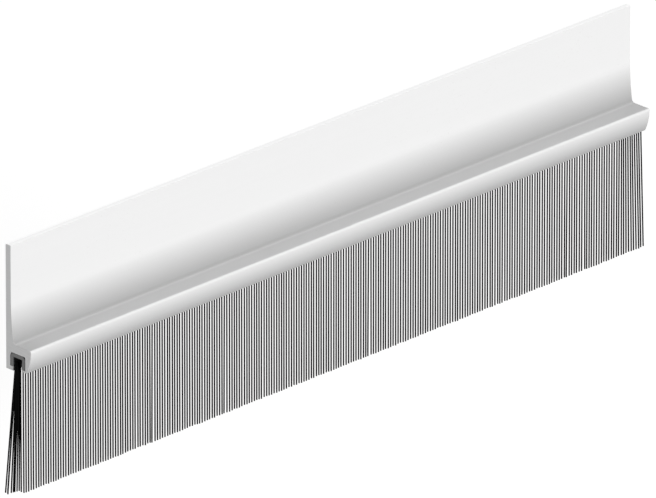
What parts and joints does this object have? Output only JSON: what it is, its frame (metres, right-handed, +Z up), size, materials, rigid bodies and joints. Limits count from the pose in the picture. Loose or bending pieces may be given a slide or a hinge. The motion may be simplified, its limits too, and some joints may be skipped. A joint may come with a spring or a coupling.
{
  "type": "door bottom brush seal",
  "caption": "Straight brush seal for the lower edge of a door: an aluminium flange with a channel that holds a strip brush with black filaments hanging down.",
  "frame": {"origin": "centre of the flat back face of the holder, which lies on the door", "axes": "+X along the seal, +Y into the door, at right angles to the back face, +Z up, away from the filaments"},
  "size_m": [0.2, 0.008, 0.0601],
  "materials": {
    "aluminium": "pale satin anodised",
    "galvanised_steel": "dull galvanised, dark grey",
    "steel_wire": "plain drawn wire",
    "black_filament": "black extruded filament, slightly shiny"
  },
  "bodies": {
    "root": {"holder": "aluminium", "brush_backing": "galvanised_steel", "core_wire": "steel_wire", "bristles": "black_filament"}
  },
  "joints": []
}
